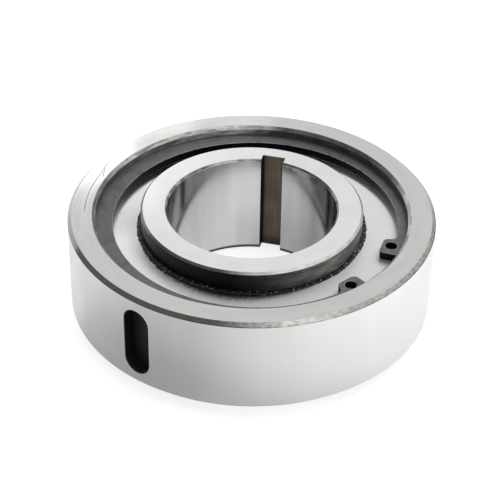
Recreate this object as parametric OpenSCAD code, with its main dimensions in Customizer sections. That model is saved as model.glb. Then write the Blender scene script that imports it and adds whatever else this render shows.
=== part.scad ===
// Sprag clutch: two rings that a full row of sprags locks together in one direction of turning.
// The clutch axis is Z. The origin is the middle of the inner ring's lower end.
// Angles are measured about Z, counter-clockwise from X as seen from above.

/* [Inner ring] */
// Bore for the shaft, diameter
bore_d = 60; // [50:0.5:75]
// Length of the inner ring
inner_len = 40; // [33:0.5:50]
// Wall of the inner ring at its ends
inner_wall = 9.3; // [8:0.1:13]
// How far the inner race stands out from the ring's ends
race_step = 2.7; // [1.5:0.1:3.5]
// Chamfer on the two edges of the bore
bore_chamfer = 0.75; // [0.3:0.05:1.5]
// Chamfer on the outside edges of the ring's ends
end_chamfer = 0.8; // [0.3:0.05:1.5]
// Chamfer on the two edges of the inner race
land_chamfer = 0.5; // [0.2:0.05:0.8]

/* [Keyway in the bore] */
// Width of the keyway in the bore
bore_key_w = 8; // [6:0.5:18]
// Depth of the keyway below the wall of the bore
bore_key_depth = 3.3; // [2:0.1:5]
// Corner radius at the keyway's floor
bore_key_corner = 0.3; // [0.1:0.05:0.6]
// Direction of the keyway from the axis, degrees
bore_key_angle = 112; // [0:0.5:360]

/* [Outer ring] */
// Width of the outer ring
outer_w = 36; // [30:0.5:44]
// Radial space between the inner and the outer race
sprag_space = 10; // [8.3:0.1:12]
// Step from the outer race out to the wall of the end recess
seat_step = 3.2; // [2.8:0.1:6]
// Wall of the outer ring outside its snap ring grooves
outer_wall = 7.5; // [6:0.1:12]
// Depth of the snap ring grooves in the wall of the recess
groove_depth = 2.3; // [1.5:0.1:3]
// Chamfer on the outside edges of the outer ring
outer_chamfer = 1.45; // [0.5:0.05:2.5]
// Chamfer at the mouth of each end recess
lip_chamfer = 1.2; // [0.1:0.05:1.5]
// Lead-in on the two edges of the outer race
race_lead = 0.6; // [0.2:0.05:1]
// How far the ring's end face stands above the snap ring
face_recess = 3.5; // [2:0.1:5]

/* [Keyway in the outside] */
// Width of the closed keyway in the outside
outer_key_w = 10; // [6:0.5:14]
// Length of the closed keyway, from round end to round end
outer_key_len = 26; // [15:0.5:26]
// Depth of the closed keyway below the outside diameter
outer_key_depth = 5; // [3:0.1:6]
// Direction of the closed keyway from the axis, degrees
outer_key_angle = -90; // [-180:0.5:180]

/* [Covers] */
// Thickness of each cover plate
cover_t = 3; // [2:0.1:4]
// Radial gap between a cover's bore and the end of the inner ring
cover_gap = 1; // [0.5:0.1:1.3]
// Radial clearance of a cover in its recess
cover_fit = 0.05; // [0.02:0.01:0.2]
// Edge break on the corners of a cover
cover_chamfer = 0.3; // [0.1:0.05:0.5]

/* [Snap rings] */
// Thickness of each snap ring
snap_t = 3; // [2:0.1:4]
// Radial width of a snap ring opposite its gap
snap_back_w = 8.4; // [7:0.1:11]
// Radial width of a snap ring beside its lugs
snap_front_w = 5.4; // [5:0.1:8]
// How far a lug reaches in from the ring's outside
lug_reach = 9.7; // [9:0.1:12]
// Lug from the middle of its hole to its end face
lug_end = 4.85; // [3.5:0.05:6]
// Lug from the middle of its hole to its far side
lug_side = 3.7; // [3.2:0.1:5]
// Corner radius of a lug
lug_corner = 1.9; // [0.5:0.1:2.5]
// Radius of the hollow between a lug and the ring
lug_hollow = 2.4; // [1:0.1:3]
// Hole for the pliers, diameter
pliers_hole_d = 4.2; // [3:0.1:5]
// Pliers hole from the ring's outside to its middle
pliers_hole_in = 6.4; // [5:0.1:8]
// Angle from the middle of the gap to each pliers hole
pliers_hole_angle = 15.5; // [12:0.5:20]
// Radial clearance of a snap ring in its groove
snap_fit = 0.2; // [0.1:0.05:0.5]
// Clearance above and below a snap ring in its groove
groove_play = 0.1; // [0.05:0.05:0.3]
// Direction of the upper snap ring's gap, degrees
top_gap_angle = 2.5; // [-180:0.5:180]
// Direction of the lower snap ring's gap, degrees
bottom_gap_angle = 180; // [-180:0.5:180]

/* [Sprags] */
// Number of sprags
sprag_count = 30; // [24:1:32]
// Gap between neighbouring sprags at their feet
sprag_spacing = 0.4; // [0.3:0.1:2]
// Height of the foot, where that gap is measured
foot_h = 2; // [1:0.1:3]
// How much the inner cam's radius is over half the sprag space
inner_cam_over = 0.2; // [0.1:0.05:0.4]
// How much the outer cam's radius is over half the sprag space
outer_cam_over = 0.6; // [0.5:0.05:0.8]
// Strut angle: how far the line between the two contacts leans from the radius, degrees
strut_angle = 3.5; // [2.5:0.1:4]
// Width across the waist as a share of the width across the foot
waist_share = 0.74; // [0.6:0.01:0.9]
// Radius of the hollow on each side of the waist
waist_hollow_r = 5; // [4:0.1:8]
// How far the four tips of a sprag are blunted
tip_blunt = 0.35; // [0.1:0.05:0.6]
// Film of grease between a sprag and each race at rest
race_film = 0.02; // [0.01:0.01:0.05]
// Clearance between the end of a sprag and each cover
sprag_end_gap = 0.4; // [0.2:0.05:0.8]

/* [Garter springs] */
// Outside diameter of the spring's coil
spring_d = 2.4; // [1.5:0.1:2.8]
// Depth of the notch in each end of a sprag
notch_depth = 3; // [2.8:0.1:3.6]
// Gap between a spring and the crest that it pulls on
crest_gap = 0.3; // [0.25:0.05:0.5]
// Radius of the crest
crest_r = 5; // [3:0.1:6]
// How far the crest lies to the leading side of the sprag's middle
crest_lead = 0.8; // [0.3:0.1:1.2]
// Gap between a spring and the roof of its notch
roof_gap = 0.9; // [0.7:0.05:1.2]
// How far the notch's shoulders lie below the crest
shoulder_drop = 0.9; // [0.7:0.05:1.2]

/* [Assembly] */
// End play of the inner ring between the covers, each way
end_float = 0.7; // [0.3:0.05:1]
// Gap left below the inner race when the inner ring has sunk towards the lower cover
rest_gap = 0.06; // [0.02:0.01:0.3]

/* [Hidden] */
$fn = 96;

// How far a cut runs past the face that it opens
past = 1;

// Radii about the clutch axis, from the bore outwards
bore_r = bore_d / 2;
inner_end_r = bore_r + inner_wall;
inner_race_r = inner_end_r + race_step;
outer_race_r = inner_race_r + sprag_space;
seat_r = outer_race_r + seat_step;
groove_r = seat_r + groove_depth;
outer_r = groove_r + outer_wall;

// Lengths along the axis
seat_depth = face_recess + snap_t + cover_t;
cavity_len = outer_w - 2 * seat_depth;
land_len = cavity_len - 2 * end_float;
sprag_len = cavity_len - 2 * sprag_end_gap;

// Heights of the middles of the two rings
inner_mid_z = inner_len / 2;
outer_mid_z = inner_mid_z + end_float - rest_gap;

// Snap ring, drawn with its gap towards X
snap_r = groove_r - snap_fit;
snap_bore_r = snap_r - (snap_back_w + snap_front_w) / 2;
snap_bore_shift = (snap_back_w - snap_front_w) / 2;
pliers_hole_r = snap_r - pliers_hole_in;
lug_inner_r = snap_r - lug_reach;
// How far the circle of a lug's hollow runs into the ring, so that the two cross cleanly
hollow_dip = 0.05;

// Sprag, drawn with its foot towards the axis and its head towards Y
inner_cam_r = sprag_space / 2 + inner_cam_over;
outer_cam_r = sprag_space / 2 + outer_cam_over;
contact_lean = asin(sprag_space * tan(strut_angle) / outer_race_r);
inner_cam_centre = [0, inner_race_r + race_film + inner_cam_r];
outer_cam_centre = (outer_race_r - race_film - outer_cam_r) * [sin(contact_lean), cos(contact_lean)];
sprag_pivot = (inner_cam_centre + outer_cam_centre) / 2;
foot_w = 2 * PI * (inner_race_r + foot_h) / sprag_count - sprag_spacing;
waist_w = waist_share * foot_w;

// Garter spring and the notch that holds it
spring_path_r = sprag_pivot[1] - crest_gap;
notch_crest_r = spring_path_r - spring_d / 2 - crest_gap;
notch_roof_r = spring_path_r + spring_d / 2 + roof_gap;
spring_z = sprag_len / 2 - notch_depth + crest_gap + spring_d / 2;

function sprag_name(number) = str("sprag_", number < 10 ? "0" : "", number);

// The upper half of a section, joined to its mirror image below the middle
function both_halves(upper) =
    concat(upper, [for (i = [len(upper) - 1:-1:0]) [upper[i][0], -upper[i][1]]]);

outer_section = let (
    half = outer_w / 2,
    groove_low = cavity_len / 2 + cover_t - groove_play,
    groove_high = groove_low + snap_t + 2 * groove_play
) both_halves([
    [outer_race_r, cavity_len / 2 - race_lead],
    [outer_race_r + race_lead, cavity_len / 2],
    [seat_r, cavity_len / 2],
    [seat_r, groove_low],
    [groove_r, groove_low],
    [groove_r, groove_high],
    [seat_r, groove_high],
    [seat_r, half - lip_chamfer],
    [seat_r + lip_chamfer, half],
    [outer_r - outer_chamfer, half],
    [outer_r, half - outer_chamfer]
]);

inner_section = let (half = inner_len / 2) both_halves([
    [bore_r, half - bore_chamfer],
    [bore_r + bore_chamfer, half],
    [inner_end_r - end_chamfer, half],
    [inner_end_r, half - end_chamfer],
    [inner_end_r, land_len / 2],
    [inner_race_r - land_chamfer, land_len / 2],
    [inner_race_r, land_len / 2 - land_chamfer]
]);

cover_section = let (inside = inner_end_r + cover_gap, outside = seat_r - cover_fit) both_halves([
    [inside, cover_t / 2 - cover_chamfer],
    [inside + cover_chamfer, cover_t / 2],
    [outside - cover_chamfer, cover_t / 2],
    [outside, cover_t / 2 - cover_chamfer]
]);

// A closed keyway, sunk from the outside along the cutter's own axis
module closed_keyway() {
    straight = outer_key_len - outer_key_w;
    floor_r = outer_r - outer_key_depth;
    rotate([0, 0, outer_key_angle]) translate([floor_r, 0, 0]) rotate([0, 90, 0]) {
        for (end = [-1, 1]) {
            translate([end * straight / 2, 0, 0])
                cylinder(d = outer_key_w, h = outer_key_depth + past);
        }
        translate([-straight / 2, -outer_key_w / 2, 0])
            cube([straight, outer_key_w, outer_key_depth + past]);
    }
}

module outer_ring() {
    color("lightgray") translate([0, 0, outer_mid_z]) difference() {
        rotate_extrude() polygon(outer_section);
        closed_keyway();
    }
}

// The keyway's outline across the bore, with rounded corners at its floor
module bore_key_outline() {
    floor_r = bore_r + bore_key_depth;
    translate([0, -bore_key_w / 2]) square([floor_r - bore_key_corner, bore_key_w]);
    translate([0, -bore_key_w / 2 + bore_key_corner])
        square([floor_r, bore_key_w - 2 * bore_key_corner]);
    for (side = [-1, 1]) {
        translate([floor_r - bore_key_corner, side * (bore_key_w / 2 - bore_key_corner)])
            circle(r = bore_key_corner);
    }
}

module inner_ring() {
    color("gainsboro") translate([0, 0, inner_mid_z]) difference() {
        rotate_extrude() polygon(inner_section);
        translate([0, 0, -inner_len / 2 - past]) rotate([0, 0, bore_key_angle])
            linear_extrude(inner_len + 2 * past) bore_key_outline();
    }
}

// A plain plate that keeps the sprags in and the dirt out
module cover(level) {
    color("silver") translate([0, 0, outer_mid_z + level]) rotate_extrude() polygon(cover_section);
}

module top_cover() {
    cover((cavity_len + cover_t) / 2);
}

module bottom_cover() {
    cover(-(cavity_len + cover_t) / 2);
}

// One lug with X through its hole and its end face on the side of negative Y
module lug_outline() {
    root_x = snap_r - snap_front_w / 2;
    // Middle of the ring's inner edge as seen from the lug
    edge_middle = snap_bore_shift * [cos(pliers_hole_angle), -sin(pliers_hole_angle)];
    // The hollow touches the lug's side, and crosses the ring's inner edge
    hollow_reach = snap_bore_r - lug_hollow + hollow_dip;
    hollow_y = lug_side + lug_hollow;
    hollow_x = edge_middle[0] + sqrt(pow(hollow_reach, 2) - pow(hollow_y - edge_middle[1], 2));
    hollow = [hollow_x, hollow_y];
    in_ring = edge_middle + (hollow - edge_middle) * (snap_bore_r + snap_front_w / 2) / hollow_reach;
    translate([lug_inner_r + lug_corner, -lug_end])
        square([root_x - lug_inner_r - lug_corner, lug_end + lug_side]);
    translate([lug_inner_r, -lug_end + lug_corner])
        square([root_x - lug_inner_r, lug_end + lug_side - 2 * lug_corner]);
    for (y = [-lug_end + lug_corner, lug_side - lug_corner]) {
        translate([lug_inner_r + lug_corner, y]) circle(r = lug_corner);
    }
    difference() {
        polygon([[hollow_x, lug_side], [root_x, lug_side], in_ring, hollow]);
        translate(hollow) circle(r = lug_hollow);
    }
}

// Draws the same outline at both lugs
module at_both_lugs() {
    for (side = [0, 1]) {
        mirror([0, side]) rotate(pliers_hole_angle) children();
    }
}

module snap_ring_outline() {
    difference() {
        union() {
            difference() {
                circle(r = snap_r);
                translate([snap_bore_shift, 0]) circle(r = snap_bore_r);
            }
            at_both_lugs() lug_outline();
        }
        // The gap lies between the end faces of the two lugs
        intersection_for (side = [0, 1]) {
            mirror([0, side]) rotate(pliers_hole_angle)
                translate([0, -lug_end - 2 * snap_r]) square([snap_r + past, 2 * snap_r]);
        }
        at_both_lugs() translate([pliers_hole_r, 0]) circle(d = pliers_hole_d);
    }
}

// A ring that is squeezed with pliers, and springs out into its groove
module snap_ring(level, gap_angle) {
    color("dimgray") translate([0, 0, outer_mid_z + level - snap_t / 2]) rotate([0, 0, gap_angle])
        linear_extrude(snap_t) snap_ring_outline();
}

module top_snap_ring() {
    snap_ring((cavity_len + snap_t) / 2 + cover_t, top_gap_angle);
}

module bottom_snap_ring() {
    snap_ring(-(cavity_len + snap_t) / 2 - cover_t, bottom_gap_angle);
}

// The closed coil of a garter spring, as the tube that its turns fill
module garter_spring(level) {
    color("slategray") translate([0, 0, outer_mid_z + level])
        rotate_extrude() translate([spring_path_r, 0]) circle(d = spring_d);
}

module top_garter_spring() {
    garter_spring(spring_z);
}

module bottom_garter_spring() {
    garter_spring(-spring_z);
}

// Two cam arcs whose centres lie side by side make the sprag taller when it leans one way
module sprag_outline() {
    blunt_w = foot_w - 2 * tip_blunt;
    difference() {
        intersection() {
            translate(inner_cam_centre) circle(r = inner_cam_r);
            translate(outer_cam_centre) circle(r = outer_cam_r);
            translate([sprag_pivot[0] - blunt_w / 2, inner_race_r]) square([blunt_w, sprag_space]);
        }
        for (side = [-1, 1]) {
            translate(sprag_pivot + [side * (waist_w / 2 + waist_hollow_r), 0])
                circle(r = waist_hollow_r);
        }
    }
}

// The part of a sprag's end that is cut away for the garter spring
module notch_outline() {
    difference() {
        circle(r = notch_roof_r);
        circle(r = notch_crest_r - shoulder_drop);
        translate([-crest_lead, notch_crest_r - crest_r]) circle(r = crest_r);
    }
}

module sprag(number) {
    color("gray") translate([0, 0, outer_mid_z]) rotate([0, 0, (number - 1) * 360 / sprag_count]) {
        difference() {
            translate([0, 0, -sprag_len / 2]) linear_extrude(sprag_len) sprag_outline();
            for (end = [0, 1]) {
                mirror([0, 0, end]) translate([0, 0, sprag_len / 2 - notch_depth])
                    linear_extrude(notch_depth + past) notch_outline();
            }
        }
    }
}

outer_ring();
inner_ring();
top_cover();
bottom_cover();
top_snap_ring();
bottom_snap_ring();
top_garter_spring();
bottom_garter_spring();
for (number = [1:sprag_count]) {
    sprag(number);
}
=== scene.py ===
"""Looks of the sprag clutch: finely turned rings, wound garter springs, squeezed-out grease, and
a procedural material for every piece. Lengths are metres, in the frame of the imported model."""

import math

import bmesh
import bpy
from mathutils import Matrix, Vector, noise


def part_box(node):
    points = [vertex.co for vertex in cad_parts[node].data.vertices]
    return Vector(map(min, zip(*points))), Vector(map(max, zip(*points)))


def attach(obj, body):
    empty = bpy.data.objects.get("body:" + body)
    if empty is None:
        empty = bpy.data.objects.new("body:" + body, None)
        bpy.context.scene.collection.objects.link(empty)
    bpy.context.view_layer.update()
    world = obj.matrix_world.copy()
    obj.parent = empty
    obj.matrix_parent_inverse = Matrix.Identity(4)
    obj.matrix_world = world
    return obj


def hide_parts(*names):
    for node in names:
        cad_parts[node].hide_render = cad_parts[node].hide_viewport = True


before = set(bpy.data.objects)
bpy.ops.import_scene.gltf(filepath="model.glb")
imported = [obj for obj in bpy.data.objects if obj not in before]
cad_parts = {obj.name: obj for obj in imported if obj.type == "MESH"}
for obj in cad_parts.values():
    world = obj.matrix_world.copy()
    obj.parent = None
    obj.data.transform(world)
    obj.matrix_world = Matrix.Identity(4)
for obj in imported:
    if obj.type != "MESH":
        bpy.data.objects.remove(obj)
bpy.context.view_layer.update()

MM = 0.001
TURN = 2 * math.pi
UP = Vector((0, 0, 1))

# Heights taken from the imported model
OUTER_LOW, OUTER_HIGH = (corner.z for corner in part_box("outer_ring"))
INNER_LOW, INNER_HIGH = (corner.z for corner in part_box("inner_ring"))
COVER_LOW, COVER_HIGH = (corner.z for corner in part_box("top_cover"))
SNAP_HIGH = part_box("top_snap_ring")[1].z
OUTER_MIDDLE = (OUTER_LOW + OUTER_HIGH) / 2
INNER_MIDDLE = (INNER_LOW + INNER_HIGH) / 2

# Radii about the clutch axis
BORE_R = 30 * MM
INNER_END_R = 39.3 * MM
COVER_BORE_R = 40.3 * MM
INNER_RACE_R = 42 * MM
OUTER_RACE_R = 52 * MM
COVER_R = 55.15 * MM
SEAT_R = 55.2 * MM
GROOVE_R = 57.5 * MM
OUTER_R = 65 * MM

# Heights above the middle of a ring, and the room that a snap ring has in its groove
GROOVE_CLEAR = 0.1 * MM
CAVITY_END = COVER_LOW - OUTER_MIDDLE
GROOVE_LOW = COVER_HIGH - OUTER_MIDDLE - GROOVE_CLEAR
GROOVE_HIGH = SNAP_HIGH - OUTER_MIDDLE + GROOVE_CLEAR
RACE_LAND_END = 7.8 * MM

# Edge breaks
OUTER_CHAMFER = 1.45 * MM
LIP_CHAMFER = 1.2 * MM
RACE_LEAD = 0.6 * MM
BORE_CHAMFER = 0.75 * MM
END_CHAMFER = 0.8 * MM
LAND_CHAMFER = 0.5 * MM
COVER_CHAMFER = 0.3 * MM

# Keyways
OUTER_KEY_ANGLE = math.radians(-90)
OUTER_KEY_W = 10 * MM
OUTER_KEY_LEN = 26 * MM
OUTER_KEY_FLOOR = 60 * MM
BORE_KEY_ANGLE = math.radians(112)
BORE_KEY_W = 8 * MM
BORE_KEY_FLOOR = 33.3 * MM

# Fineness of the turned meshes
SEGMENTS = 360

# How far the photograph's view is turned about the axis from this frame, in degrees
VIEW_TURN = 35.7

# Directions in the photograph's view, in degrees from its right-hand side
SCRATCHED_SIDE = 165
DIM_SIDE = -126
LEFT_SIDE = 181
RIGHT_SIDE = -25

# Light levels, where 1 is white
FILL = 0.35
SKY_IN_METAL = 0.95
FLOOR_IN_VIEW = 0.75
FLOOR_GLOW = 0.35
DIM_FLOOR_GLOW = 0.16
BORE_FLOOR_GLOW = 0.5
RIGHT_GLOW = 0.3
LEFT_GLOW = 0.2
SECOND_REFLECTION = 0.9


# Meshes


def new_object(name, data):
    made = bpy.data.objects.new(name, data)
    bpy.context.scene.collection.objects.link(made)
    return made


def new_piece(name, mesh, looks, body, slot, *stands_for):
    """A mesh object in its materials, which rides on a body and stands for CAD nodes."""
    for look in looks:
        mesh.materials.append(look)
    piece = new_object(name, mesh)
    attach(piece, body)
    if stands_for:
        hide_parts(*stands_for)
    return piece


def closed_mesh(name, vertices, faces):
    """A mesh without open edges, whose normals all point out of it."""
    mesh = bpy.data.meshes.new(name)
    mesh.from_pydata(vertices, [], faces)
    work = bmesh.new()
    work.from_mesh(mesh)
    bmesh.ops.recalc_face_normals(work, faces=work.faces)
    work.to_mesh(mesh)
    work.free()
    return mesh


def looped_faces(steps, count):
    """Faces between closed sections of count points, which go round in steps to the first one."""
    faces = []
    for step in range(steps):
        here = step * count
        ahead = (step + 1) % steps * count
        for i in range(count):
            j = (i + 1) % count
            faces.append((here + i, here + j, ahead + j, ahead + i))
    return faces


def mirrored(upper, closing):
    """The upper half of an outline joined to its mirror image. A corner is (r, height, rounding,
    surface of the edge after it), and closing is the surface of the edge that joins both ends."""
    surfaces = [corner[3] for corner in upper[-2::-1]] + [closing]
    lower = [(r, -z, rounding, surfaces[i]) for i, (r, z, rounding, _) in enumerate(upper[::-1])]
    return upper + lower


def rounded(corners, surfaces, steps=3):
    """Outline points (r, height, surface) with arcs at the corners. An arc takes that surface of
    its two edges which comes first in the list."""
    points = []
    for i, (r, z, rounding, surface) in enumerate(corners):
        before = corners[i - 1]
        after = corners[(i + 1) % len(corners)]
        here = Vector((r, z))
        back = (Vector(before[:2]) - here).normalized()
        ahead = (Vector(after[:2]) - here).normalized()
        if rounding == 0:
            points.append((r, z, surface))
            continue
        half_bend = (math.pi - back.angle(ahead)) / 2
        centre = here + (back + ahead).normalized() * rounding / math.cos(half_bend)
        start = here + back * rounding * math.tan(half_bend) - centre
        end = here + ahead * rounding * math.tan(half_bend) - centre
        arc_surface = min(before[3], surface, key=surfaces.index)
        for step in range(steps + 1):
            spoke = start.lerp(end, step / steps).normalized() * rounding
            points.append((*(centre + spoke), surface if step == steps else arc_surface))
    return points


def turned_mesh(name, outline, middle, surfaces):
    """A solid of revolution about Z, whose faces take the material slot of their outline edge."""
    vertices = []
    for k in range(SEGMENTS):
        angle = TURN * k / SEGMENTS
        vertices += [(r * math.cos(angle), r * math.sin(angle), middle + z) for r, z, _ in outline]
    mesh = closed_mesh(name, vertices, looped_faces(SEGMENTS, len(outline)))
    slots = [surfaces.index(surface) for _, _, surface in outline]
    mesh.polygons.foreach_set("material_index", slots * SEGMENTS)
    return mesh


def stadium(length, width, grow, steps=12):
    """Outline with two round ends along the first axis, grown outwards by a margin."""
    radius = width / 2 + grow
    reach = (length - width) / 2
    points = []
    for end in (1, -1):
        for step in range(steps + 1):
            angle = math.pi * (step / steps - 0.5)
            points.append((end * (reach + radius * math.cos(angle)), end * radius * math.sin(angle)))
    return points


def layered_cutter(name, layers):
    """A closed cutter between outlines that have the same number of points."""
    count = len(layers[0])
    last = count * (len(layers) - 1)
    faces = [tuple(range(count)), tuple(range(last, last + count))]
    for low in range(0, last, count):
        for i in range(count):
            j = (i + 1) % count
            faces.append((low + i, low + j, low + count + j, low + count + i))
    return new_object(name, closed_mesh(name, [point for layer in layers for point in layer], faces))


def cut(piece, cutter, slot):
    """Takes a cutter out of a piece, and gives the new faces the material in that slot."""
    for _ in range(slot + 1):
        cutter.data.materials.append(None)
    for face in cutter.data.polygons:
        face.material_index = slot
    boolean = piece.modifiers.new("cut", "BOOLEAN")
    boolean.operation = "DIFFERENCE"
    boolean.solver = "EXACT"
    boolean.object = cutter
    boolean.material_mode = "INDEX"
    apply_modifiers(piece)
    bpy.data.objects.remove(cutter)


def apply_modifiers(piece):
    """Puts the evaluated mesh in place of the piece's own."""
    graph = bpy.context.evaluated_depsgraph_get()
    made = bpy.data.meshes.new_from_object(piece.evaluated_get(graph), depsgraph=graph)
    piece.modifiers.clear()
    piece.data = made


def smooth(piece, sharp_degrees=32):
    """Smooth shading with hard edges, where large faces stay even right up to their rounded edges."""
    piece.data.shade_smooth()
    piece.data.set_sharp_from_angle(angle=math.radians(sharp_degrees))
    weighted = piece.modifiers.new("weighted_normals", "WEIGHTED_NORMAL")
    weighted.keep_sharp = True
    weighted.mode = "FACE_AREA"
    weighted.weight = 80


def closed_keyway_cutter():
    """The keyway in the outside, with a small edge break that follows the cylinder."""
    edge = 0.25 * MM
    out = 1 * MM
    layers = []
    for grow, depth in ((0, None), (0, edge), (edge, 0), (edge + out, -out)):
        layer = []
        for along, across in stadium(OUTER_KEY_LEN, OUTER_KEY_W, grow):
            wall = math.sqrt(OUTER_R**2 - across**2)
            layer.append((OUTER_KEY_FLOOR if depth is None else wall - depth, across, OUTER_MIDDLE + along))
        layers.append(layer)
    cutter = layered_cutter("closed_keyway_cutter", layers)
    cutter.data.transform(Matrix.Rotation(OUTER_KEY_ANGLE, 4, "Z"))
    return cutter


def bore_key_outline(grow):
    """The bore keyway seen along the axis, with round floor corners and broken edges at the wall."""
    corner = 0.3 * MM
    edge = 0.15 * MM
    corner_steps = 4
    half = BORE_KEY_W / 2 + grow
    floor = BORE_KEY_FLOOR + grow
    wall = math.sqrt(BORE_R**2 - half**2)
    side = [(BORE_R / 2, half + edge), (wall - edge, half + edge), (wall + edge, half)]
    for step in range(corner_steps + 1):
        angle = math.pi / 2 * (1 - step / corner_steps)
        side.append((floor - corner + corner * math.cos(angle), half - corner + corner * math.sin(angle)))
    return side + [(x, -y) for x, y in side[::-1]]


def bore_keyway_cutter():
    """The keyway along the bore, a little wider where it meets the two end faces."""
    edge = 0.2 * MM
    past = 1 * MM
    levels = (
        (INNER_LOW - past, edge + past),
        (INNER_LOW, edge),
        (INNER_LOW + edge, 0),
        (INNER_HIGH - edge, 0),
        (INNER_HIGH, edge),
        (INNER_HIGH + past, edge + past),
    )
    layers = [[(x, y, z) for x, y in bore_key_outline(grow)] for z, grow in levels]
    cutter = layered_cutter("bore_keyway_cutter", layers)
    cutter.data.transform(Matrix.Rotation(BORE_KEY_ANGLE, 4, "Z"))
    return cutter


def make_outer_ring(looks):
    surfaces = list(looks)
    half = OUTER_HIGH - OUTER_MIDDLE
    upper = [
        (OUTER_RACE_R, CAVITY_END - RACE_LEAD, 0.2 * MM, "race"),
        (OUTER_RACE_R + RACE_LEAD, CAVITY_END, 0.2 * MM, "recess"),
        (SEAT_R, CAVITY_END, 0, "recess"),
        (SEAT_R, GROOVE_LOW, 0.05 * MM, "recess"),
        (GROOVE_R, GROOVE_LOW, 0, "recess"),
        (GROOVE_R, GROOVE_HIGH, 0, "recess"),
        (SEAT_R, GROOVE_HIGH, 0.08 * MM, "recess"),
        (SEAT_R, half - LIP_CHAMFER, 0.12 * MM, "lip"),
        (SEAT_R + LIP_CHAMFER, half, 0.12 * MM, "face"),
        (OUTER_R - OUTER_CHAMFER, half, 0.15 * MM, "chamfer"),
        (OUTER_R, half - OUTER_CHAMFER, 0.15 * MM, "outside"),
    ]
    outline = rounded(mirrored(upper, "race"), surfaces)
    mesh = turned_mesh("outer_ring_body", outline, OUTER_MIDDLE, surfaces)
    name, body, slot = "outer_ring_body", "outer_ring_assembly", "ground_ring_steel"
    piece = new_piece(name, mesh, looks.values(), body, slot, "outer_ring")
    cut(piece, closed_keyway_cutter(), surfaces.index("keyway"))
    smooth(piece)


def make_inner_ring(looks):
    surfaces = list(looks)
    half = INNER_HIGH - INNER_MIDDLE
    upper = [
        (BORE_R, half - BORE_CHAMFER, 0.2 * MM, "mouth"),
        (BORE_R + BORE_CHAMFER, half, 0.2 * MM, "face"),
        (INNER_END_R - END_CHAMFER, half, 0.15 * MM, "end_edge"),
        (INNER_END_R, half - END_CHAMFER, 0.15 * MM, "end_wall"),
        (INNER_END_R, RACE_LAND_END, 0, "race"),
        (INNER_RACE_R - LAND_CHAMFER, RACE_LAND_END, 0.1 * MM, "race"),
        (INNER_RACE_R, RACE_LAND_END - LAND_CHAMFER, 0.15 * MM, "race"),
    ]
    outline = rounded(mirrored(upper, "bore"), surfaces)
    mesh = turned_mesh("inner_ring_body", outline, INNER_MIDDLE, surfaces)
    name, body, slot = "inner_ring_body", "inner_ring", "inner_ring_steel"
    piece = new_piece(name, mesh, looks.values(), body, slot, "inner_ring")
    cut(piece, bore_keyway_cutter(), surfaces.index("keyway"))
    smooth(piece)


def make_cover(node, look):
    low, high = (corner.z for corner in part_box(node))
    half = (high - low) / 2
    edge = 0.08 * MM
    upper = [
        (COVER_BORE_R, half - COVER_CHAMFER, edge, "plate"),
        (COVER_BORE_R + COVER_CHAMFER, half, edge, "plate"),
        (COVER_R - COVER_CHAMFER, half, edge, "plate"),
        (COVER_R, half - COVER_CHAMFER, edge, "plate"),
    ]
    outline = rounded(mirrored(upper, "plate"), ["plate"])
    mesh = turned_mesh(node + "_plate", outline, (low + high) / 2, ["plate"])
    smooth(new_piece(node + "_plate", mesh, [look], "outer_ring_assembly", "cover_plate", node))


def make_snap_ring(node, look):
    """The stamped ring with its edges rounded over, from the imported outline."""
    edge = 0.18 * MM
    same_place = 1e-4 * MM
    same_height = 1e-3 * MM
    flat_angle = math.radians(0.5)
    corner_angle = math.radians(60)
    level_normal = 0.9999
    sharp_degrees = 40
    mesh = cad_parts[node].data.copy()
    mesh.materials.clear()
    work = bmesh.new()
    work.from_mesh(mesh)
    bmesh.ops.remove_doubles(work, verts=work.verts, dist=same_place)
    bmesh.ops.dissolve_limit(work, angle_limit=flat_angle, verts=work.verts, edges=work.edges)
    bends = [e for e in work.edges if e.calc_face_angle(0) > corner_angle]
    rim = [e for e in bends if abs(e.verts[0].co.z - e.verts[1].co.z) < same_height]
    bmesh.ops.bevel(work, geom=rim, offset=edge, segments=3, profile=0.5, affect="EDGES")
    level = [f for f in work.faces if abs(f.normal.z) > level_normal]
    bmesh.ops.delete(work, geom=level, context="FACES")
    middle = sum(v.co.z for v in work.verts) / len(work.verts)
    for above in (True, False):
        open_rim = [e for e in work.edges if e.is_boundary and (e.verts[0].co.z > middle) == above]
        bmesh.ops.triangle_fill(work, edges=open_rim, use_beauty=True)
    bmesh.ops.recalc_face_normals(work, faces=work.faces)
    work.to_mesh(mesh)
    work.free()
    body, slot = "outer_ring_assembly", "phosphated_spring_steel"
    smooth(new_piece(node + "_steel", mesh, [look], body, slot, node), sharp_degrees)


def make_garter_spring(node, look):
    """A closed coil wound from round wire, in place of the tube that it fills."""
    wire_d = 0.5 * MM
    pitch = 0.56 * MM
    steps = 10
    sides = 6
    low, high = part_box(node)
    coil_d = high.z - low.z
    path_r = high.x - coil_d / 2
    middle = (low.z + high.z) / 2
    coil_r = (coil_d - wire_d) / 2
    turns = round(TURN * path_r / pitch)
    count = turns * steps
    vertices = []
    for i in range(count):
        along = TURN * i / count
        wound = TURN * i / steps
        out = Vector((math.cos(along), math.sin(along), 0))
        spoke = out * math.cos(wound) + UP * math.sin(wound)
        onward = Vector((-math.sin(along), math.cos(along), 0)) * pitch / TURN
        onward += (UP * math.cos(wound) - out * math.sin(wound)) * coil_r
        across = onward.normalized().cross(spoke)
        centre = out * path_r + UP * middle + spoke * coil_r
        for side in range(sides):
            angle = TURN * side / sides
            vertices.append(centre + (spoke * math.cos(angle) + across * math.sin(angle)) * wire_d / 2)
    mesh = closed_mesh(node + "_coil", vertices, looped_faces(count, sides))
    mesh.shade_smooth()
    new_piece(node + "_coil", mesh, [look], "outer_ring_assembly", "spring_wire", node)


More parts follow.
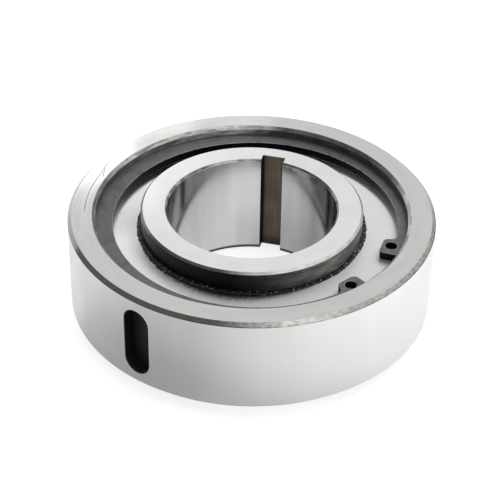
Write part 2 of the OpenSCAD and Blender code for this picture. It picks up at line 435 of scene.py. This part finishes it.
def make_grease_bead(look):
    """Grease pressed out of the gap round the inner ring, in uneven lumps."""
    steps = 900
    section = 10
    swell_rate, lump_rate, small_lump_rate, width_rate, crinkle_rate = 3.1, 26, 61, 34, 90
    elsewhere = 5 * UP
    crest_power = 2.2
    clear = 0.05 * MM
    least_height = 0.15 * MM
    least_width = 0.3 * MM
    crinkle_depth = 0.08 * MM
    foot_sink = 0.05 * MM
    root_height = COVER_LOW + 1 * MM
    tuck_r = COVER_BORE_R + 0.1 * MM
    tuck_height = COVER_HIGH - 0.4 * MM
    inside = INNER_END_R + clear
    vertices = []
    for k in range(steps):
        angle = TURN * k / steps
        way = Vector((math.cos(angle), math.sin(angle), 0))
        swell = 0.5 + 0.5 * noise.noise(way * swell_rate)
        lump = noise.noise(way * lump_rate) + 0.6 * noise.noise(way * small_lump_rate)
        height = (0.3 + 0.3 * swell + 0.3 * lump) * MM
        height = max(height, least_height)
        width = (0.3 + 0.5 * swell + 0.4 * noise.noise(way * width_rate + elsewhere)) * MM
        foot = COVER_BORE_R + max(width, least_width)
        vertices.append(way * inside + UP * root_height)
        for i in range(section):
            share = i / (section - 1)
            r = inside + (foot - inside) * share
            crest = height * math.sqrt(max(0, 1 - share**crest_power))
            crinkle = crinkle_depth * noise.noise(way * crinkle_rate + elsewhere * share)
            z = COVER_HIGH + crest + crinkle * (1 - share) - foot_sink * share
            vertices.append(way * r + UP * z)
        vertices.append(way * tuck_r + UP * tuck_height)
    mesh = closed_mesh("grease_bead", vertices, looped_faces(steps, section + 2))
    mesh.shade_smooth()
    new_piece("grease_bead", mesh, [look], "outer_ring_assembly", "grease")


# Shader nodes


def feed(tree, value, socket):
    """Links a node's value to a socket, or writes a plain number, colour or vector into it."""
    if isinstance(value, Value):
        tree.links.new(value.socket, socket)
    else:
        socket.default_value = value


def add_node(tree, kind, *inputs, **settings):
    """A node with its settings made and its first sockets fed."""
    node = tree.nodes.new(kind)
    for name, setting in settings.items():
        setattr(node, name, setting)
    for value, socket in zip(inputs, node.inputs):
        feed(tree, value, socket)
    return node


def calculated(tree, operation, *numbers):
    node = add_node(tree, "ShaderNodeMath", *numbers, operation=operation)
    return Value(tree, node.outputs[0])


class Value:
    """What a node gives. Plain arithmetic with it adds the nodes that work it out."""

    def __init__(self, tree, socket):
        self.tree = tree
        self.socket = socket

    def __add__(self, other):
        return calculated(self.tree, "ADD", self, other)

    def __sub__(self, other):
        return calculated(self.tree, "SUBTRACT", self, other)

    def __rsub__(self, other):
        return calculated(self.tree, "SUBTRACT", other, self)

    def __mul__(self, other):
        return calculated(self.tree, "MULTIPLY", self, other)

    def __truediv__(self, other):
        return calculated(self.tree, "DIVIDE", self, other)

    def __abs__(self):
        return calculated(self.tree, "ABSOLUTE", self)

    def at_least(self, other):
        return calculated(self.tree, "MAXIMUM", self, other)

    def ramp(self, low, high, at_low=0.0, at_high=1.0):
        """Smooth change from at_low to at_high as this value goes from low to high."""
        numbers = (self, low, high, at_low, at_high)
        node = add_node(self.tree, "ShaderNodeMapRange", *numbers, interpolation_type="SMOOTHSTEP")
        return Value(self.tree, node.outputs[0])

    def spread(self, low, high):
        """Noise stays mostly between 0.3 and 0.7, and this spreads it from low to high."""
        return self.ramp(0.3, 0.7, low, high)

    def band(self, middle, half, soft):
        """1 where this value is within half of the middle, falling to 0 over the soft edge."""
        return abs(self - middle).ramp(half, half + soft, 1.0, 0.0)


class Recipe:
    """A material being made: a Principled shader, the place on the piece in millimetres, and short
    ways to add the nodes that feed the shader."""

    def __init__(self, name, metallic=1.0, anisotropy=0.0):
        self.material = bpy.data.materials.new(name)
        self.material.use_nodes = True
        self.tree = self.material.node_tree
        self.tree.nodes.clear()
        output = add_node(self.tree, "ShaderNodeOutputMaterial")
        self.shader = add_node(self.tree, "ShaderNodeBsdfPrincipled")
        self.tree.links.new(self.shader.outputs["BSDF"], output.inputs["Surface"])
        self.set("Metallic", metallic)
        self.set("Anisotropic", anisotropy)
        if anisotropy:
            quarter_turn = 0.25
            self.set("Anisotropic Rotation", quarter_turn)
            tangent = add_node(self.tree, "ShaderNodeTangent", direction_type="RADIAL", axis="Z")
            self.set("Tangent", Value(self.tree, tangent.outputs[0]))
        place = Value(self.tree, add_node(self.tree, "ShaderNodeTexCoord").outputs["Object"])
        scaled = add_node(self.tree, "ShaderNodeVectorMath", place, operation="SCALE")
        scaled.inputs["Scale"].default_value = 1 / MM
        self.place = Value(self.tree, scaled.outputs[0])
        self.x, self.y, self.z = self.parts(self.place)
        self.r = calculated(self.tree, "SQRT", self.x * self.x + self.y * self.y)
        self.way_x = self.x / self.r
        self.way_y = self.y / self.r

    def set(self, name, value):
        """Sets a socket of the shader, or links it."""
        feed(self.tree, value, self.shader.inputs[name])

    def parts(self, vector):
        split = add_node(self.tree, "ShaderNodeSeparateXYZ", vector)
        return [Value(self.tree, output) for output in split.outputs]

    def vector(self, x, y, z):
        return Value(self.tree, add_node(self.tree, "ShaderNodeCombineXYZ", x, y, z).outputs[0])

    def noise(self, place, scale=1.0, detail=2.0):
        node = add_node(self.tree, "ShaderNodeTexNoise", place)
        node.inputs["Scale"].default_value = scale
        node.inputs["Detail"].default_value = detail
        return Value(self.tree, node.outputs["Fac"])

    def round_noise(self, along, across, across_scale, detail=2.0):
        """Noise in stripes round the axis: slow along the stripe, fast across it."""
        place = self.vector(self.way_x * along, self.way_y * along, across * across_scale)
        return self.noise(place, 1.0, detail)

    def turned_from(self, side):
        """Angle about the axis from a direction in the photograph's view, from -180 to 180 degrees."""
        start = math.radians(VIEW_TURN + side)
        ahead = self.x * math.cos(start) + self.y * math.sin(start)
        aside = self.y * math.cos(start) - self.x * math.sin(start)
        return calculated(self.tree, "ARCTAN2", aside, ahead) * math.degrees(1)

    def by_angle(self, stops, stray=0.0):
        """A value that changes round the axis. A stop is (angle, value), with angles in degrees from
        the right-hand side of the photograph's view, and stray degrees of noise make it ragged."""
        angle = self.turned_from(0)
        if stray:
            patches = self.noise(self.vector(self.way_x, self.way_y, self.z * 0.02), 15.0, 3.0)
            angle = angle + (patches - 0.5) * (2 * stray)
        node = add_node(self.tree, "ShaderNodeValToRGB", angle / 360 + 0.5)
        marks = node.color_ramp.elements
        for _ in stops[2:]:
            marks.new(0.5)
        for mark, (degrees, value) in zip(marks, stops):
            mark.position = degrees / 360 + 0.5
            mark.color = (value, value, value, 1)
        return Value(self.tree, node.outputs[0])

    def tinted(self, value, red, green, blue):
        """The colour whose parts are these shares of a value."""
        return self.vector(value * red, value * green, value * blue)

    def grey(self, value, warmth=0.0):
        """A grey of that value, a little browner with warmth."""
        return self.tinted(value, 1, 1 - warmth / 2, 1 - warmth)

    def mix(self, share, a, b):
        """From colour a to colour b as the share goes from 0 to 1."""
        node = add_node(self.tree, "ShaderNodeMix", share, data_type="RGBA")
        colour_inputs = node.inputs[6:8]
        colour_output = node.outputs[2]
        for colour, socket in zip((a, b), colour_inputs):
            feed(self.tree, colour if isinstance(colour, Value) else (*colour, 1), socket)
        return Value(self.tree, colour_output)

    def bump(self, height, depth_mm):
        """Raises the surface by the height, from 0 to 1, times a depth."""
        node = add_node(self.tree, "ShaderNodeBump")
        node.inputs["Distance"].default_value = depth_mm * MM
        feed(self.tree, height, node.inputs["Height"])
        self.set("Normal", Value(self.tree, node.outputs[0]))


# Materials, with their places in millimetres


def outside_steel():
    """Cylindrically ground outside: fine lines round the ring and soft bands along it."""
    steel = Recipe("outside_steel", anisotropy=0.6)
    lines = steel.round_noise(2.0, steel.z, 9.0, 3.0)
    bands = steel.noise(steel.vector(steel.way_x, steel.way_y, 0.0), 7.0)
    steel.set("Base Color", steel.mix(bands, (0.7, 0.692, 0.69), (0.78, 0.775, 0.77)))
    steel.set("Roughness", lines.spread(0.2, 0.27))
    steel.bump(lines, 0.002)
    return steel.material


def face_steel():
    """Ground end face: faint concentric lines, and three scratches where something was dragged."""
    long_r, outer_r, slanting_r = 59.0, 62.0, 55.9
    steel = Recipe("face_steel", anisotropy=0.4)
    lines = steel.round_noise(1.5, steel.r, 5.0)
    cloud = steel.round_noise(4.0, steel.r, 0.3)
    tone = lines.spread(0.568, 0.582) + cloud.spread(-0.02, 0.02)
    angle = steel.turned_from(SCRATCHED_SIDE)
    drift = (-5 - angle).at_least(0.0) * 0.14
    long = steel.r.band(drift + long_r, 0.14, 0.18) * angle.band(1.0, 15, 3)
    outer = steel.r.band(outer_r, 0.0, 0.3) * angle.band(-10, 1, 3) * 0.5
    slanting = (steel.r + angle * 0.35).band(slanting_r, 0.16, 0.2) * angle.band(-8.5, 3.5, 1)
    scratch = long.at_least(outer).at_least(slanting)
    steel.set("Base Color", steel.mix(scratch, steel.grey(tone, 0.025), (0.3, 0.29, 0.28)))
    steel.set("Roughness", lines.spread(0.09, 0.125))
    steel.bump(lines - scratch * 4.0, 0.0007)
    return steel.material


def chamfer_steel():
    """Turned chamfer: a smooth dark olive skin over one stretch, elsewhere mottled and rubbed."""
    low_edge = (OUTER_HIGH - OUTER_CHAMFER) / MM
    steel = Recipe("chamfer_steel", metallic=0.5)
    mottle = steel.round_noise(34.0, steel.z, 1.8, 4.0)
    tone = steel.by_angle([
        (-180, 0.74), (-170, 0.56), (-160, 0.42), (-156, 0.085), (-101, 0.09), (-88, 0.4), (-79, 0.86),
        (-66, 0.76), (-58, 0.48), (-46, 0.47), (-36, 0.36), (-22, 0.31), (-8, 0.22), (30, 0.3), (180, 0.74),
    ], stray=2)
    rough = steel.by_angle([
        (-180, 0.1), (-152, 0.08), (-110, 0.12), (-95, 0.9), (-70, 0.4), (-48, 0.45), (-30, 0.9),
        (-15, 0.9), (40, 0.3), (180, 0.1),
    ])
    foot = steel.z.ramp(low_edge + 0.11, low_edge + 0.46, -0.6, 0.1)
    swing = mottle.spread(-0.5, 0.45) + foot
    tone = (tone + swing * (rough * tone)).at_least(0.05)
    olive = steel.tinted(tone, 0.99, 1.05, 0.93)
    wear_and_painted_light = steel.tinted(tone, 1, 0.985, 0.94)
    steel.set("Base Color", steel.mix(tone.ramp(0.1, 0.3), olive, wear_and_painted_light))
    steel.set("Roughness", mottle.ramp(0.2, 0.8, 0.5, 0.35))
    steel.bump(mottle * rough, 0.05)
    return steel.material


def lip_steel():
    """Chamfer at the mouth of the recess: brown-grey skin, with painted shade that makes it nearly black at
    the rear right, and painted light at the rear and at the right.
    """
    steel = Recipe("lip_steel", metallic=0.4)
    patches = steel.round_noise(12.0, steel.z, 0.8, 4.0)
    streaks = steel.round_noise(4.0, steel.z, 4.0, 3.0)
    # Painted light and shade round the axis: nearly black at the rear right, lighter at the rear and at the
    # right.
    tone = steel.by_angle([
        (-180, 0.17), (-30, 0.25), (-4, 0.85), (9, 0.6), (24, 0.12), (36, 0.07), (62, 0.06), (80, 0.12),
        (86, 0.42), (92, 0.6), (112, 0.64), (124, 0.46), (145, 0.54), (158, 0.22), (168, 0.15), (180, 0.16),
    ], stray=5)
    swing = patches.spread(-0.45, 0.45) + streaks.spread(-0.2, 0.2)
    tone = tone + tone * swing
    # A greenish tint where the painted shade is dark, a browner one where the painted light is.
    oil_and_painted_shade = steel.tinted(tone, 0.87, 1, 0.93)
    wear_and_painted_light = steel.tinted(tone, 1, 0.975, 0.92)
    steel.set("Base Color", steel.mix(tone.ramp(0.06, 0.25), oil_and_painted_shade, wear_and_painted_light))
    steel.set("Roughness", patches.ramp(0.2, 0.8, 0.5, 0.38))
    steel.bump(patches, 0.015)
    return steel.material


def recess_steel():
    """Turned recess with a brown-grey skin, and painted shade that makes it blackish at the rear right,
    with painted light at the rear.
    """
    steel = Recipe("recess_steel", metallic=0.25)
    patches = steel.round_noise(10.0, steel.z, 0.6, 4.0)
    # Painted light and shade round the axis: blackish at the rear right, lighter at the rear.
    tone = steel.by_angle([
        (-180, 0.16), (0, 0.2), (25, 0.1), (40, 0.06), (62, 0.08), (84, 0.12), (92, 0.72), (113, 0.66),
        (128, 0.26), (142, 0.26), (155, 0.1), (180, 0.11),
    ], stray=6)
    tone = tone + tone * patches.spread(-0.5, 0.5)
    steel.set("Base Color", steel.grey(tone, 0.08))
    steel.set("Roughness", patches.ramp(0.2, 0.8, 0.5, 0.38))
    steel.bump(patches, 0.01)
    return steel.material


def race_steel():
    """Ground and polished race."""
    steel = Recipe("race_steel", anisotropy=0.4)
    lines = steel.round_noise(1.5, steel.z, 12.0, 3.0)
    steel.set("Base Color", steel.mix(lines, (0.6, 0.6, 0.6), (0.7, 0.7, 0.7)))
    steel.set("Roughness", lines.spread(0.14, 0.2))
    steel.bump(lines, 0.001)
    return steel.material


def keyway_black():
    """Milled keyway in the outside, blackened."""
    steel = Recipe("keyway_black", metallic=0.3)
    grain = steel.noise(steel.place, 2.5, 4.0)
    steel.set("Base Color", steel.mix(grain, (0.006, 0.006, 0.007), (0.014, 0.013, 0.013)))
    steel.set("Roughness", grain.spread(0.45, 0.6))
    steel.bump(grain, 0.02)
    return steel.material


def inner_face_steel():
    """Bright satin end face of the inner ring."""
    steel = Recipe("inner_face_steel", anisotropy=0.4)
    lines = steel.round_noise(1.5, steel.r, 5.0)
    cloud = steel.noise(steel.place, 0.09)
    tone = lines.spread(0.73, 0.76) + cloud.spread(-0.02, 0.02)
    steel.set("Base Color", steel.grey(tone, 0.015))
    steel.set("Roughness", lines.spread(0.15, 0.2))
    steel.bump(lines, 0.0015)
    return steel.material


def bore_steel():
    """Honed bore with soft bands along it and oil under its upper end, and painted light and shade: lighter
    at the rear and darker at the right, painted shade over its sides, and a painted shadow at its foot.
    """
    top = INNER_HIGH / MM
    stain_low, stain_high = top - 5, top - 1.2
    foot_shadow_low, foot_shadow_high = 1.4, 1.9
    side_shade_fade = 7
    steel = Recipe("bore_steel", anisotropy=0.4)
    lines = steel.round_noise(2.0, steel.z, 10.0, 3.0)
    bands = steel.noise(steel.vector(steel.way_x, steel.way_y, steel.z * 0.004), 5.0, 1.5)
    # Painted reflection round the axis: lighter at the rear, darker at the right.
    tone = steel.by_angle([
        (-180, 0.6), (0, 0.5), (12, 0.4), (38, 0.36), (56, 0.44), (76, 0.56), (88, 0.62), (104, 0.76),
        (122, 0.74), (132, 0.68), (150, 0.68), (165, 0.58), (180, 0.6),
    ])
    tone = tone + bands.spread(-0.04, 0.04)
    # Painted shade over the sides, where the bore mirrors itself, above a height that changes round the
    # axis.
    painted_side_shade = steel.by_angle([
        (-180, 1), (0, 0.8), (16, 0.6), (36, 0.3), (50, 0.9), (136, 1), (150, 0.75), (164, 0.85), (180, 1),
    ], stray=3)
    side_shade_from = steel.by_angle([(-180, 20), (0, 6), (45, 31), (135, 31), (180, 6)])
    tone = tone * steel.z.ramp(side_shade_from, side_shade_from + side_shade_fade, 1.0, painted_side_shade)
    oil_and_painted_shade = steel.by_angle([
        (-180, 0), (20, 0), (34, 0.8), (66, 0.6), (78, 0.1), (84, 0.45), (93, 0.1), (180, 0.1),
    ], stray=5)
    stain = steel.noise(steel.place, 0.28, 4.0).ramp(0.4, 0.62) * steel.z.ramp(stain_low, stain_high)
    # Oil stains under the upper end, and a painted shadow that darkens the foot.
    tone = tone * (1.0 - stain * oil_and_painted_shade) * steel.z.ramp(foot_shadow_low, foot_shadow_high, 0.2, 1.0)
    steel.set("Base Color", steel.grey(tone, 0.01))
    steel.set("Roughness", lines.spread(0.13, 0.18))
    steel.bump(lines, 0.001)
    return steel.material


def mouth_steel():
    """Chamfer at the ends of the bore, stained by oil."""
    steel = Recipe("mouth_steel", metallic=0.5)
    patches = steel.round_noise(11.0, steel.z, 0.5, 4.0)
    tone = steel.by_angle([
        (-180, 0.2), (-30, 0.3), (15, 0.25), (30, 0.06), (60, 0.08), (85, 0.2), (100, 0.4), (130, 0.3),
        (180, 0.2),
    ], stray=6)
    tone = tone + tone * patches.spread(-0.7, 0.7)
    steel.set("Base Color", steel.grey(tone, 0.05))
    steel.set("Roughness", patches.ramp(0.2, 0.8, 0.45, 0.35))
    steel.bump(patches, 0.01)
    return steel.material


def end_wall_steel():
    """Turned wall of the inner ring above the cover: streaked, nearly black at the front left from grease
    and painted shade, and lighter at the front right from painted light.
    """
    steel = Recipe("end_wall_steel", metallic=0.15)
    steel.set("Specular IOR Level", 0.2)
    streaks = steel.round_noise(5.0, steel.z, 3.0, 3.0)
    patches = steel.round_noise(6.0, steel.z, 0.3, 3.0)
    # Painted light and shade round the axis, with grease: nearly black at the front left, lightest at the
    # front right.
    tone = steel.by_angle([
        (-180, 0.14), (-167, 0.1), (-159, 0.004), (-99, 0.005), (-90, 0.03), (-76, 0.11), (-62, 0.22),
        (-42, 0.32), (-32, 0.12), (-10, 0.16), (60, 0.1), (180, 0.15),
    ], stray=3)
    swing = streaks.spread(-0.45, 0.45) + patches.spread(-0.3, 0.3)
    tone = (tone + tone * swing).at_least(0.003)
    steel.set("Base Color", steel.grey(tone, 0.1))
    steel.set("Roughness", streaks.spread(0.42, 0.3))
    steel.bump(streaks, 0.01)
    return steel.material


def end_edge_steel():
    """Chamfer round the end of the inner ring, darkened by painted shade at the front left and lightened by
    a painted highlight at the front right.
    """
    steel = Recipe("end_edge_steel", metallic=0.6)
    patches = steel.round_noise(14.0, steel.z, 0.8, 3.0)
    # Painted shade at the front left and a painted highlight at the front right.
    tone = steel.by_angle([
        (-180, 0.4), (-160, 0.3), (-150, 0.06), (-104, 0.07), (-92, 0.45), (-72, 0.9), (-40, 0.7),
        (-10, 0.5), (30, 0.3), (180, 0.4),
    ], stray=5)
    tone = tone + tone * patches.spread(-0.15, 0.12)
    steel.set("Base Color", steel.grey(tone, 0.02))
    steel.set("Roughness", patches.ramp(0.2, 0.8, 0.4, 0.3))
    steel.bump(patches, 0.01)
    return steel.material


def key_seat_steel():
    """Broached keyway in the bore, brown-grey on its floor, with painted shade that makes its corners and
    sides nearly black.
    """
    corner = 0.65
    steel = Recipe("key_seat_steel", metallic=0.8)
    across = steel.y * math.cos(BORE_KEY_ANGLE) - steel.x * math.sin(BORE_KEY_ANGLE)
    streaks = steel.noise(steel.vector(across * 1.3, steel.z * 0.05, 0.0), 1.0, 3.0)
    cloud = steel.noise(steel.place, 0.14)
    on_floor = across.band(0.0, BORE_KEY_W / MM / 2 - corner, 0.5)
    brown = steel.mix(cloud.ramp(0.35, 0.65), (0.11, 0.095, 0.07), (0.165, 0.12, 0.09))
    brown = steel.mix(streaks.spread(0.0, 0.35), brown, (0.19, 0.17, 0.14))
    # Painted shade makes the corners and sides nearly black.
    steel.set("Base Color", steel.mix(on_floor, (0.028, 0.027, 0.024), brown))
    steel.set("Roughness", streaks.spread(0.5, 0.4))
    steel.bump(streaks, 0.01)
    return steel.material


def cover_steel():
    """Satin cover plate. Round the inner ring at the front left lies a black film of grease and of painted
    shadow and painted reflection of the ring's wall, with a painted highlight beside it; painted shade
    darkens the plate at the rear left.
    """
    film_and_shadow_r = INNER_END_R / MM + 0.7
    steel = Recipe("cover_steel", anisotropy=0.3)
    cloud = steel.noise(steel.place, 0.12, 3.0)
    # Reach and softness of the black film round the axis: grease, with the painted shadow and painted
    # reflection of the inner ring's wall.
    reach = steel.by_angle([
        (-180, 0), (-166, 0), (-152, 1.1), (-140, 1.2), (-115, 1.2), (-98, 1.2), (-75, 0.5), (-55, 0.1),
        (-45, 0), (180, 0),
    ], stray=3)
    soft = steel.by_angle([
        (-180, 0.3), (-155, 0.4), (-140, 0.9), (-122, 2.6), (-105, 5), (-90, 4.4), (-75, 3), (-50, 0.6),
        (180, 0.3),
    ])
    ragged = steel.noise(steel.place, 0.8, 3.0).spread(-0.3, 0.3)
    film_and_shadow_edge = reach + film_and_shadow_r + ragged * reach
    clear_of_film_and_shadow = steel.r.ramp(film_and_shadow_edge, film_and_shadow_edge + soft)
    # A painted highlight lightens the plate at the front left.
    painted_highlight = steel.by_angle([(-180, 0), (-166, 1), (-124, 0.9), (-105, 0), (180, 0)])
    # Painted shade darkens the plate at the rear left.
    shade = steel.by_angle([
        (-180, 0.86), (-168, 0.94), (-150, 1), (90, 1), (110, 0.88), (125, 0.83), (140, 0.86), (155, 0.77),
        (170, 0.8), (180, 0.86),
    ])
    plate = steel.mix(cloud, (0.71, 0.705, 0.7), (0.75, 0.745, 0.74))
    plate = steel.mix(painted_highlight, plate, (0.93, 0.925, 0.92))
    plate = steel.mix(shade, (0, 0, 0), plate)
    steel.set("Base Color", steel.mix(clear_of_film_and_shadow, (0.012, 0.012, 0.012), plate))
    steel.set("Metallic", steel.by_angle([
        (-180, 0.6), (-150, 0.35), (-30, 0.35), (20, 0.8), (120, 1), (160, 1), (180, 0.6),
    ]))
    blur = steel.by_angle([
        (-180, 0.26), (-150, 0.36), (-30, 0.36), (15, 0.2), (40, 0.13), (130, 0.15), (180, 0.26),
    ])
    steel.set("Roughness", blur + cloud.spread(-0.02, 0.02))
    return steel.material


def phosphate_steel():
    """Snap ring with a dark phosphate skin; painted shade darkens its top at the rear right and makes its
    sides nearly black, and a painted highlight runs along its rounded edges.
    """
    steel = Recipe("phosphate_steel")
    steel.set("Specular IOR Level", 0.25)
    grain = steel.noise(steel.place, 4.0, 4.0)
    normal = Value(steel.tree, add_node(steel.tree, "ShaderNodeNewGeometry").outputs["Normal"])
    level = abs(steel.parts(normal)[2])
    # Painted shade on the top, darkest at the rear right.
    shade = steel.by_angle([
        (-180, 0.8), (-130, 1), (0, 0.95), (24, 0.65), (64, 0.7), (100, 1), (150, 0.8), (180, 0.8),
    ])
    skin = steel.mix(grain.ramp(0.35, 0.65), (0.077, 0.078, 0.085), (0.15, 0.153, 0.162))
    skin = steel.mix(shade, (0, 0, 0), skin)
    # Painted shade makes the steep sides nearly black.
    skin = steel.mix(level.ramp(0.1, 0.6), (0.008, 0.009, 0.011), skin)
    # A painted highlight along the rounded edges, in patches.
    rubbed = level.band(0.78, 0.12, 0.12) * steel.noise(steel.place, 0.25).ramp(0.3, 0.5)
    steel.set("Base Color", steel.mix(rubbed, skin, (0.5, 0.51, 0.53)))
    steel.set("Metallic", level.ramp(0.1, 0.6, 1.0, 0.25))
    steel.set("Roughness", grain.spread(0.45, 0.36))
    steel.bump(grain, 0.006)
    return steel.material


def sprag_steel():
    """Ground sprags."""
    steel = Recipe("sprag_steel")
    lines = steel.noise(steel.vector(steel.x * 3.0, steel.y * 3.0, steel.z * 0.2), 1.0, 3.0)
    steel.set("Base Color", steel.mix(lines, (0.5, 0.5, 0.5), (0.62, 0.62, 0.61)))
    steel.set("Roughness", lines.spread(0.22, 0.3))
    steel.bump(lines, 0.002)
    return steel.material


def wire_steel():
    """Drawn spring wire."""
    steel = Recipe("wire_steel")
    grain = steel.noise(steel.place, 6.0)
    steel.set("Base Color", steel.mix(grain, (0.4, 0.4, 0.41), (0.55, 0.55, 0.55)))
    steel.set("Roughness", grain.spread(0.25, 0.35))
    return steel.material


def black_grease():
    """Dark grease with a wet shine, and sparse painted highlights: bright flecks in its colour."""
    grease = Recipe("black_grease", metallic=0.0)
    grease.set("Specular IOR Level", 0.25)
    grain = grease.noise(grease.place, 1.4, 3.0)
    sparse = grease.noise(grease.place, 0.35).ramp(0.45, 0.6)
    # Painted highlights: sparse bright flecks.
    painted_glint = grease.noise(grease.place, 1.9).ramp(0.6, 0.66) * (sparse + 0.15)
    grease.set("Base Color", grease.mix(painted_glint, (0.006, 0.006, 0.006), (0.75, 0.75, 0.73)))
    grease.set("Roughness", grain.spread(0.3, 0.5))
    grease.bump(grain, 0.15)
    return grease.material


# Camera, stage and light


def view_matrix(place, target):
    """For a camera or lamp at a place of the photograph's view, aimed at a target there."""
    turn = Matrix.Rotation(math.radians(VIEW_TURN), 4, "Z")
    aim = (Vector(target) - Vector(place)).to_track_quat("-Z", "Y").to_matrix().to_4x4()
    return turn @ Matrix.Translation(place) @ aim


def make_camera():
    """The photograph's viewpoint, found from the ellipses of the rings and the sides of the keyways."""
    sensor = 36
    lens = 116.2
    roll = math.radians(0.97)
    place = Vector((-0.444, -468.33, 363.98)) * MM
    target = Vector((-0.44, 0, 20.9)) * MM
    data = bpy.data.cameras.new("camera")
    data.sensor_width = sensor
    data.lens = lens
    camera = new_object("camera", data)
    camera.matrix_world = view_matrix(place, target) @ Matrix.Rotation(roll, 4, "Z")
    bpy.context.scene.camera = camera


def background_rays(tree, in_view, in_metal, in_second=1.0):
    """One strength where the camera or clear glass looks, another where a reflection does, and a
    share of that where it is the reflection of a reflection."""
    past_first = 1.5
    path = add_node(tree, "ShaderNodeLightPath")
    camera = Value(tree, path.outputs["Is Camera Ray"])
    glass = Value(tree, path.outputs["Is Transmission Ray"])
    metal = Value(tree, path.outputs["Is Glossy Ray"])
    reflections = Value(tree, path.outputs["Glossy Depth"])
    second = calculated(tree, "GREATER_THAN", reflections, past_first)
    share = second * (in_second - 1) + 1.0
    return camera.at_least(glass) * in_view + metal * share * in_metal


def make_floor():
    """A pale floor that looks white and keeps a soft shadow. It shines through the bore, and metal
    mirrors it dimmer at the front left, and brighter at the right and close to the left side. A
    span is where a glow changes, in millimetres from the axis or in degrees from a side."""
    half = 3.0
    bore_span = (27.5, 29.5)
    wall_span = (30, 38)
    close_span = (76, 94)
    right_span = (60, 130)
    dim_side_span = (10, 46)
    left_side_span = (6, 20)
    paper = Recipe("floor", metallic=0.0)
    paper.set("Base Color", (0.8, 0.8, 0.8, 1))
    paper.set("Roughness", 1.0)
    paper.set("Specular IOR Level", 0.0)
    right = math.radians(VIEW_TURN + RIGHT_SIDE)
    to_right = paper.x * math.cos(right) + paper.y * math.sin(right)
    around = abs(paper.turned_from(DIM_SIDE)).ramp(*dim_side_span, DIM_FLOOR_GLOW, FLOOR_GLOW)
    at_left = abs(paper.turned_from(LEFT_SIDE)).ramp(*left_side_span, LEFT_GLOW, 0.0)
    at_left = at_left * paper.r.ramp(*close_span, 1.0, 0.0)
    at_right = to_right.ramp(*right_span, 0.0, RIGHT_GLOW)
    in_bore = paper.r.ramp(*bore_span, BORE_FLOOR_GLOW, 0.0)
    past_wall = paper.r.ramp(*wall_span)
    in_metal = in_bore + past_wall * (around + at_left + at_right)
    paper.set("Emission Color", (1, 1, 1, 1))
    paper.set("Emission Strength", background_rays(paper.tree, FLOOR_IN_VIEW, in_metal, SECOND_REFLECTION))
    mesh = bpy.data.meshes.new("floor")
    corners = [(-half, -half, 0), (half, -half, 0), (half, half, 0), (-half, half, 0)]
    mesh.from_pydata(corners, [], [(0, 1, 2, 3)])
    mesh.materials.append(paper.material)
    floor = new_object("floor", mesh)


def make_world():
    """An even white studio."""
    world = bpy.data.worlds.new("studio")
    bpy.context.scene.world = world
    world.use_nodes = True
    tree = world.node_tree
    back = tree.nodes["Background"]
    back.inputs["Color"].default_value = (1, 1, 1, 1)
    matt = Value(tree, add_node(tree, "ShaderNodeLightPath").outputs["Is Diffuse Ray"])
    feed(tree, background_rays(tree, 1.0, SKY_IN_METAL) + matt * FILL, back.inputs["Strength"])


def softbox(name, place, target, size, radiance, in_metal=True):
    """A rectangular lamp that the camera doesn't see."""
    data = bpy.data.lights.new(name, "AREA")
    data.shape = "RECTANGLE"
    data.size, data.size_y = size
    data.energy = radiance * math.pi * size[0] * size[1]
    lamp = new_object(name, data)
    lamp.matrix_world = view_matrix(place, target)
    lamp.visible_camera = False
    lamp.visible_glossy = in_metal


def make_lamps():
    """A key light that metal doesn't mirror, and three cards that the end face mirrors at its rear."""
    face = 0.0386
    rear = 0.85
    softbox("key_box", (0.38, 0.38, 0.62), (0, 0, 0), (0.45, 0.45), 7.5, in_metal=False)
    softbox("rear_left_card", (-0.2, rear, 0.54), (-0.075, 0.05, face), (0.16, 0.1), 1.8)
    softbox("rear_middle_card", (-0.095, rear, 0.515), (-0.045, 0.065, face), (0.075, 0.08), 0.4)
    softbox("rear_card", (-0.045, rear, 0.497), (-0.02, 0.075, face), (0.13, 0.06), 0.45)


# The scene. Where two surfaces of a ring meet in a rounded edge, the one named first here takes it.

make_camera()
make_floor()
make_world()
make_lamps()

race_look = race_steel()
make_outer_ring({
    "outside": outside_steel(),
    "face": face_steel(),
    "race": race_look,
    "recess": recess_steel(),
    "lip": lip_steel(),
    "chamfer": chamfer_steel(),
    "keyway": keyway_black(),
})
make_inner_ring({
    "face": inner_face_steel(),
    "bore": bore_steel(),
    "mouth": mouth_steel(),
    "end_edge": end_edge_steel(),
    "end_wall": end_wall_steel(),
    "race": race_look,
    "keyway": key_seat_steel(),
})
plate_look = cover_steel()
snap_look = phosphate_steel()
wire_look = wire_steel()
for end in ("top", "bottom"):
    make_cover(end + "_cover", plate_look)
    make_snap_ring(end + "_snap_ring", snap_look)
    make_garter_spring(end + "_garter_spring", wire_look)
make_grease_bead(black_grease())

sprag_look = sprag_steel()
for name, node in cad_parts.items():
    if name.startswith("sprag_"):
        node.data.materials.clear()
        node.data.materials.append(sprag_look)

bpy.context.scene.view_settings.view_transform = "Standard"
